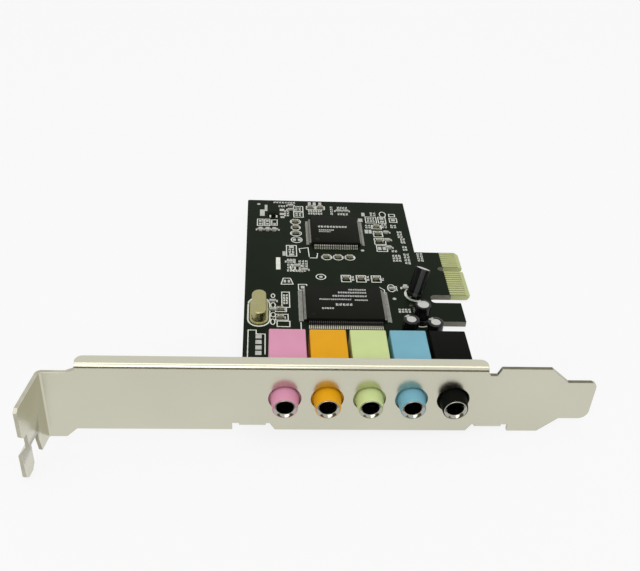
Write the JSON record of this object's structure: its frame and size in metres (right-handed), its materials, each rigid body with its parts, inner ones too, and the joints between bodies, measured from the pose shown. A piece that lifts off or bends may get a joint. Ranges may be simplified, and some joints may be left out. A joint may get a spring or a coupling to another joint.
{
  "type": "sound card with an edge connector",
  "caption": "Short computer sound card: black circuit board with a keyed edge connector, a folded nickel-plated bracket, coloured audio jacks, flat chips, a crystal and upright capacitors.",
  "frame": {"origin": "middle of the key notch at the contact tips, halfway through the board's thickness", "axes": "+X is the way the card goes into its slot, +Y points away from the bracket, +Z is the component side"},
  "size_m": [0.1235, 0.1056, 0.0254],
  "materials": {
    "board_laminate": "black solder mask with white print",
    "contact_gold": "thin gold plating",
    "bracket_nickel": "nickel plated steel sheet",
    "screw_steel": "zinc plated",
    "bushing_nickel": "bright nickel plating",
    "spring_metal": "tin plated bronze strip",
    "chip_mould": "fine moulded epoxy",
    "lead_tin": "tin plating",
    "crystal_metal": "satin plated can",
    "capacitor_sleeve": "glossy shrink sleeve",
    "chip_ceramic": "fired ceramic with tinned ends",
    "resistor_film": "glazed film with tinned ends",
    "pink_moulding": "satin moulding",
    "orange_moulding": "satin moulding",
    "green_moulding": "satin moulding",
    "blue_moulding": "satin moulding",
    "black_moulding": "satin moulding"
  },
  "bodies": {
    "root": {"audio_chip_body": "chip_mould", "audio_chip_leads": "lead_tin", "back_edge_contacts": "contact_gold", "black_jack_bushing": "bushing_nickel", "black_jack_housing": "black_moulding", "black_jack_springs": "spring_metal", "blue_jack_bushing": "bushing_nickel", "blue_jack_housing": "blue_moulding", "blue_jack_springs": "spring_metal", "bracket": "bracket_nickel", "bracket_screws": "screw_steel", "bridge_chip_body": "chip_mould", "bridge_chip_leads": "lead_tin", "chip_capacitors": "chip_ceramic", "chip_resistors": "resistor_film", "circuit_board": "board_laminate", "crystal_base": "crystal_metal", "crystal_can": "crystal_metal", "crystal_leads": "lead_tin", "front_edge_contacts": "contact_gold", "green_jack_bushing": "bushing_nickel", "green_jack_housing": "green_moulding", "green_jack_springs": "spring_metal", "large_capacitor": "capacitor_sleeve", "large_capacitor_leads": "lead_tin", "orange_jack_bushing": "bushing_nickel", "orange_jack_housing": "orange_moulding", "orange_jack_springs": "spring_metal", "pink_jack_bushing": "bushing_nickel", "pink_jack_housing": "pink_moulding", "pink_jack_springs": "spring_metal", "regulator_body": "chip_mould", "regulator_leads": "lead_tin", "small_capacitor_leads": "lead_tin", "small_capacitors": "capacitor_sleeve"}
  },
  "joints": []
}
